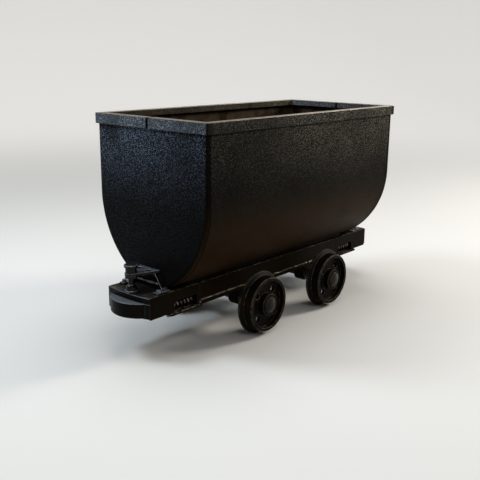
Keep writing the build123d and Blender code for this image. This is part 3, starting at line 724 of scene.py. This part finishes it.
def rein_in(bm, surface, reach):
    """Bring points that a bevel threw further than its own width back to the solid."""
    for vert in bm.verts:
        nearest, _, _, distance = surface.find_nearest(vert.co)
        if distance > reach:
            vert.co = nearest


def soften(bm, width):
    """Round every hard edge of a closed mesh and mark the rounded faces."""
    surface = BVHTree.FromBMesh(bm)
    hard = [edge for edge in bm.edges
            if len(edge.link_faces) == 2 and edge.calc_face_angle() > HARD_TURN]
    made = bmesh.ops.bevel(bm, geom=hard, offset=width, offset_type="OFFSET", affect="EDGES",
                           segments=ROUND_STEPS, profile=0.5, material=-1,
                           clamp_overlap=False)
    marked(bm, made["faces"])
    rein_in(bm, surface, width)
    smoothed(bm)
    return len(hard)


def even_shading(piece):
    """Let the large faces lead the shading, so that flats look flat beside round edges."""
    even = piece.modifiers.new("even_shading", "WEIGHTED_NORMAL")
    even.keep_sharp = True


def softened(node, finish, width, worn_and_lit_tops):
    """A copy of a solid with joined flats and round edges, which stands for the solid."""
    bm = bmesh.new()
    bm.from_mesh(NODES[node].data)
    bmesh.ops.remove_doubles(bm, verts=bm.verts, dist=MERGE)
    bmesh.ops.dissolve_limit(bm, angle_limit=FLAT_TURN, verts=bm.verts, edges=bm.edges)
    edges = soften(bm, width * MM)
    marked(bm, [face for face in bm.faces if face.normal.z > LEVEL], worn_and_lit_tops)
    piece = piece_from(bm, node + "_dressed", PAINTS[finish])
    even_shading(piece)
    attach(piece, NODES[node]["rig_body"])
    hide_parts(node)
    print(f"{node}: {edges} edges rounded by {width} mm, {len(piece.data.polygons)} faces")


# %% [markdown]
# # How round each solid is
# Pressed plate and turned steel have tight edges, and rolled bars and castings mostly have
# rounder ones. One width for all would be shorter to write, but a table gives each solid
# its own. It also gives the finish, and how far the faces that look straight up are rubbed,
# because hands and boots wear those as well as the edges; on the bumper and the coupling
# gear the bright tops are also a painted highlight. Pieces that stand at both ends, on both
# sides or at all four wheels share one row.

# %% Soften them all
ENDS = ("_front", "_rear")
SIDES = ("_near", "_far")
WHEELS = ("_front_near", "_front_far", "_rear_near", "_rear_far")
SOFTENED = (              # node, slot, finish, edge in mm, wear and painted highlight on its tops, ends or sides
    ("tub_wrap", "tub_paint", "tub_paint", 1.0, 0.0, ("",)),
    ("tub_end", "tub_paint", "tub_paint", 1.0, 0.0, ENDS),
    ("tub_rim", "rim_paint", "rim_paint", 1.8, 0.6, SIDES),
    ("tub_saddles", "frame_paint", "frame_paint", 2.0, 0.0, SIDES),
    ("tub_hinge_lugs", "tub_paint", "tub_paint", 1.5, 0.0, ("",)),
    ("sill", "frame_paint", "frame_paint", 2.0, 0.12, SIDES),
    ("transoms", "frame_paint", "frame_paint", 1.5, 0.0, ("",)),
    ("deck", "frame_paint", "bumper_paint", 2.0, 0.05, ENDS),
    ("bumper", "frame_paint", "bumper_paint", 2.5, 0.9, ENDS),
    ("end_cheeks", "frame_paint", "frame_paint", 1.2, 0.1, ENDS),
    ("spring_keepers", "frame_paint", "frame_paint", 2.0, 0.5, ENDS),
    ("buffer_rods", "pin_steel", "pin_steel", 1.0, 0.0, ENDS),
    ("coupling_hood", "gear_steel", "gear_steel", 1.5, 0.3, ENDS),
    ("coupling_plate", "gear_steel", "gear_steel", 1.8, 0.35, ENDS),
    ("coupling_post", "gear_steel", "gear_steel", 1.2, 0.05, ENDS),
    ("coupling_bar", "pin_steel", "pin_steel", 1.0, 0.0, ENDS),
    ("hinge_brackets", "frame_paint", "frame_paint", 1.2, 0.0, ("",)),
    ("hinge_pins", "pin_steel", "pin_steel", 1.0, 0.0, ("",)),
    ("axle_boxes", "frame_paint", "frame_paint", 2.0, 0.0, ENDS),
    ("axle", "axle_steel", "axle_steel", 1.5, 0.0, ENDS),
    ("wheel", "wheel_iron", "wheel_iron", 1.8, 0.0, WHEELS),
    ("hub_cap", "cap_steel", "cap_steel", 1.2, 0.0, WHEELS),
)

for stem, slot, finish, width, worn_and_lit_tops, sides in SOFTENED:
    for side in sides:
        softened(stem + side, finish, width, worn_and_lit_tops)
print("softened solids:", sum(len(row[-1]) for row in SOFTENED))

# %% [markdown]
# # Coil springs
# The solids have each spring as a stack of rings, which is enough to knock against, while
# the real one is a helix of round wire. A curve with a bevel would do, but a spin with a
# push along its axis at every step makes the coil straight from the wire's circle, with no
# path to work out.

# %% Wind the springs
SPRING_WIRE_R = 6
WIRE_SIDES = 10
STEPS_A_TURN = 20
TURNS = 6


def edges_of(verts):
    """The edges that meet at some points, each once."""
    return list(dict.fromkeys(edge for vert in verts for edge in vert.link_edges))


def coil(bm, low, high, radius):
    """A helix of wire along X between two ends, round the line through their middle."""
    middle = (Vector(low) + Vector(high)) / 2
    wire = SPRING_WIRE_R * MM
    start = Vector((low[0] + wire, middle.y, middle.z))
    length = high[0] - low[0] - 2 * wire
    turned = Matrix.Translation(start + Vector((0, 0, radius - wire)))
    ring = bmesh.ops.create_circle(bm, segments=WIRE_SIDES, radius=wire, cap_ends=True,
                                   matrix=turned @ Matrix.Rotation(math.radians(90), 4, "X"))
    geometry = ring["verts"] + edges_of(ring["verts"]) + list(ring["verts"][0].link_faces)
    steps = STEPS_A_TURN * TURNS
    bmesh.ops.spin(bm, geom=geometry, cent=start, axis=(1, 0, 0),
                   dvec=(length / steps, 0, 0), angle=math.radians(360 * TURNS), steps=steps)


for end in ("front", "rear"):
    node = "buffer_springs_" + end
    low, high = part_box(node)
    bm = bmesh.new()
    spring_r = (high.z - low.z) / 2
    for side in (-1, 1):
        ys = (low.y, low.y + 2 * spring_r) if side < 0 else (high.y - 2 * spring_r, high.y)
        coil(bm, (low.x, ys[0], low.z), (high.x, ys[1], high.z), spring_r)
    bmesh.ops.recalc_face_normals(bm, faces=bm.faces)
    smoothed(bm)
    piece = piece_from(bm, node + "_wound", PAINTS["spring_steel"])
    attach(piece, "frame")
    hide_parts(node)
    print(node, "wound,", len(piece.data.polygons), "faces")

# %% [markdown]
# # Grit shields
# Under the ribs at each spring pocket's ends a strip of plate closes the gap down to the
# keeper, so that stones thrown up by the wheels stay off the spring. A strip is a plain
# box, so it is a cube squeezed to the size of its gap, with its edges rounded as on the rest
# of the frame. Its places are counted from the keeper, which the frame gives.

# %% Fit the grit shields
SHIELD_T = 6
SHIELD_IN = (24, 194)     # the shields' middles, from the keeper's end near the bumper
SHIELD_ABOVE = (8, 0)     # their tops above the keeper's upright leg
SHIELD_Y = (100, 142)     # from the pocket's back wall to the cheek
SHIELD_EDGE = 1
KEEPER_T = 12


def strip(bm, low, high):
    """A plate with rounded edges between two corners."""
    fitted = Matrix.LocRotScale((low + high) / 2, None, high - low)
    cube = bmesh.ops.create_cube(bm, size=1, matrix=fitted)
    made = bmesh.ops.bevel(bm, geom=edges_of(cube["verts"]), offset=SHIELD_EDGE * MM,
                           segments=ROUND_STEPS, affect="EDGES", profile=0.5, material=-1)
    marked(bm, made["faces"])


for end, way in (("front", 1), ("rear", -1)):
    low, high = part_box("spring_keepers_" + end)
    outer = low.x if end == "front" else high.x
    bm = bmesh.new()
    for inside, above in zip(SHIELD_IN, SHIELD_ABOVE):
        x = outer + way * inside * MM
        for side in (-1, 1):
            ys = sorted(side * at * MM for at in SHIELD_Y)
            strip(bm, Vector((x - SHIELD_T * MM / 2, ys[0], low.z + KEEPER_T * MM)),
                  Vector((x + SHIELD_T * MM / 2, ys[1], high.z + above * MM)))
    piece = piece_from(bm, "pocket_shields_" + end, PAINTS["frame_paint"])
    even_shading(piece)
    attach(piece, "frame")
    print(piece.name, len(piece.data.polygons), "faces")

# %% [markdown]
# # Bolts
# What wears out and is changed is bolted on. A head is a six-sided prism with its corners
# turned off, and under it lies a washer. One head could be made once and shown again at
# every place, but copies would be as many pieces to keep in order, so all heads of a group
# are one mesh. Each is drawn on the origin, pointing up, and then moved to its place, upside
# down where it is seen from below.

# %% Bolt heads
BOLT_ACROSS = 20          # across the corners it is a little more
BOLT_HEAD_H = 9
HEAD_SIDES = 6
CORNER_CUT = 1.5
WASHER_R = 12
WASHER_T = 3
ROUND_SIDES = 24


def disc(bm, radius, thick, sides):
    """A prism or disc that stands on the origin."""
    made = bmesh.ops.create_cone(bm, cap_ends=True, segments=sides, radius1=radius * MM,
                                 radius2=radius * MM, depth=thick * MM,
                                 matrix=Matrix.Translation((0, 0, thick * MM / 2)))
    return made["verts"]


def bolt_head(bm, place, down=False):
    """A washer and a hexagon head at a place, pointing up or down."""
    washer = disc(bm, WASHER_R, WASHER_T, ROUND_SIDES)
    head = disc(bm, BOLT_ACROSS / 2 / math.cos(math.pi / HEAD_SIDES), BOLT_HEAD_H, HEAD_SIDES)
    bmesh.ops.translate(bm, verts=head, vec=(0, 0, WASHER_T * MM))
    top = max(vert.co.z for vert in head)
    upper = [edge for edge in edges_of(head)
             if min(end.co.z for end in edge.verts) > top - MM / 2]
    bevelled = bmesh.ops.bevel(bm, geom=upper, offset=CORNER_CUT * MM, segments=1,
                               offset_type="OFFSET", affect="EDGES", profile=0.5, material=-1)
    marked(bm, bevelled["faces"])
    verts = {vert for vert in washer + head if vert.is_valid}
    verts |= {vert for face in bevelled["faces"] for vert in face.verts}
    turn = Matrix.Rotation(math.pi if down else 0, 4, "X")
    bmesh.ops.transform(bm, matrix=Matrix.Translation(place) @ turn, verts=list(verts))


def bolts(name, body, places, down=False):
    """One mesh with a bolt head at each place."""
    bm = bmesh.new()
    for place in places:
        bolt_head(bm, place, down)
    bmesh.ops.recalc_face_normals(bm, faces=bm.faces)
    piece = piece_from(bm, name, PAINTS["pin_steel"])
    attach(piece, body)
    print(name, "heads:", len(places))


# %% [markdown]
# # Where the bolts go
# At each end of the car four bolts hold the hood's feet on the deck, and eight more come up
# from below, through the keeper and the axle boxes. Their places could be written down, but
# they are counted from the edges of what the bolts hold, so that they follow it when a size
# changes.

# %% Bolt it together
EAR_FROM_EDGE = 14        # a bolt's middle, from the outer edge of the hood's foot
EAR_T = 8
EAR_BOLTS_IN = (22, 60)   # the bolts' middles, from the hood's edge beside the tub
KEEPER_BOLT_IN = 14
FOOT_BOLT_IN = 20
FOOT_T = 14

sill_low, sill_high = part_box("sill_near")
sill_y = (sill_low.y + sill_high.y) / 2

for end in ("front", "rear"):
    low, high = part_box("coupling_hood_" + end)
    ear_y = high.y - EAR_FROM_EDGE * MM
    ear_xs = [high.x - at * MM if end == "front" else low.x + at * MM for at in EAR_BOLTS_IN]
    tops = [(x, side * ear_y, low.z + EAR_T * MM) for x in ear_xs for side in (-1, 1)]
    bolts("deck_bolts_" + end, "frame", tops)

    low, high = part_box("spring_keepers_" + end)
    keeper_xs = (low.x + KEEPER_BOLT_IN * MM, high.x - KEEPER_BOLT_IN * MM)
    unders = [(x, side * sill_y, low.z) for x in keeper_xs for side in (-1, 1)]
    low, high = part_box("axle_boxes_" + end)
    foot_xs = (low.x + FOOT_BOLT_IN * MM, high.x - FOOT_BOLT_IN * MM)
    unders += [(x, side * sill_y, high.z - FOOT_T * MM) for x in foot_xs for side in (-1, 1)]
    bolts("under_bolts_" + end, "frame", unders, down=True)

# %% [markdown]
# # Where the seams run
# Each end of the tub is welded to its sheet all round, on a line of arcs. The line could be
# drawn again from its radii, but it is there on the solids themselves: a plane cuts the end
# plate beside its seam and leaves the outline, and a walk along its edges puts the points
# in order.

# %% Find the seams
SEAM_INSIDE = 0.5         # how far inside the skirt's edge the plane cuts
ON_PLANE = 0.00001


def outline_at(node, x):
    """The outer outline of a tub piece where a plane across the car cuts it."""
    bm = bmesh.new()
    bm.from_mesh(NODES[node].data)
    bmesh.ops.remove_doubles(bm, verts=bm.verts, dist=MERGE)
    bmesh.ops.bisect_plane(bm, geom=bm.verts[:] + bm.edges[:] + bm.faces[:], dist=ON_PLANE,
                           plane_co=(x, 0, 0), plane_no=(1, 0, 0), clear_inner=True,
                           clear_outer=True)
    # The cut is a ring, and without its short top edges its outer line is open.
    top = max(vert.co.z for vert in bm.verts) - MM
    lids = [edge for edge in bm.edges if min(end.co.z for end in edge.verts) > top]
    bmesh.ops.delete(bm, geom=lids, context="EDGES")
    vert = max((vert for vert in bm.verts if len(vert.link_edges) == 1), key=lambda v: v.co.y)
    points, came_from = [vert.co.copy()], None
    while ways := [edge for edge in vert.link_edges if edge is not came_from]:
        came_from = ways[0]
        vert = came_from.other_vert(vert)
        points.append(vert.co.copy())
    bm.free()
    return points


seams = []
for end in ("front", "rear"):
    low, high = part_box("tub_end_" + end)
    x = high.x - SEAM_INSIDE * MM if end == "front" else low.x + SEAM_INSIDE * MM
    seams.append(outline_at("tub_end_" + end, x))
print("points on the seams:", [len(points) for points in seams])

# %% [markdown]
# # Weld beads
# Where two plates are welded, a bead stands proud, with a ripple for every move of the
# welder's hand. A smooth tube would be quicker, but it would look drawn, so the line is
# walked at even steps, and a round curve whose radius changes a little at every step is run
# along it. The packings under the belly have a straight bead each.

# %% Lay the beads
BEAD_R = 3.2
BEAD_STEP = 7.0
BEAD_RIPPLE = 0.22
BEAD_ROUNDS = 2


def even_steps(points, step):
    """Points at even steps along a broken line."""
    walked, left = [points[0]], step
    for start, end in zip(points, points[1:]):
        length = (end - start).length
        while left <= length:
            walked.append(start.lerp(end, left / length))
            left += step
        left -= length
    return walked


def bead(name, body, slot, paths):
    """Rippled beads along paths, as one mesh."""
    curve = bpy.data.curves.new(name, "CURVE")
    curve.dimensions = "3D"
    curve.bevel_depth = BEAD_R * MM
    curve.bevel_resolution = BEAD_ROUNDS
    curve.use_fill_caps = True
    for path in paths:
        steps = even_steps([Vector(point) for point in path], BEAD_STEP * MM / 2)
        spline = curve.splines.new("POLY")
        spline.points.add(len(steps) - 1)
        for index, (point, step) in enumerate(zip(spline.points, steps)):
            point.co = (*step, 1)
            point.radius = 1 - BEAD_RIPPLE * (index % 2)
    drawn = bpy.data.objects.new(name + "_curve", curve)
    bpy.context.scene.collection.objects.link(drawn)
    bpy.context.view_layer.update()
    bm = bmesh.new()
    bm.from_mesh(drawn.to_mesh())
    drawn.to_mesh_clear()
    bpy.data.objects.remove(drawn)
    bmesh.ops.recalc_face_normals(bm, faces=bm.faces)
    smoothed(bm)
    piece = piece_from(bm, name, PAINTS[slot])
    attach(piece, body)
    print(name, "paths:", len(paths), "faces:", len(piece.data.polygons))


bead("tub_seam_welds", "tub", "tub_paint", seams)

packing_welds = []
for side in ("near", "far"):
    low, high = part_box("tub_saddles_" + side)
    y = low.y if side == "near" else high.y
    packing_welds.append([(low.x, y, high.z), (high.x, y, high.z)])
bead("tub_packing_welds", "tub", "frame_paint", packing_welds)
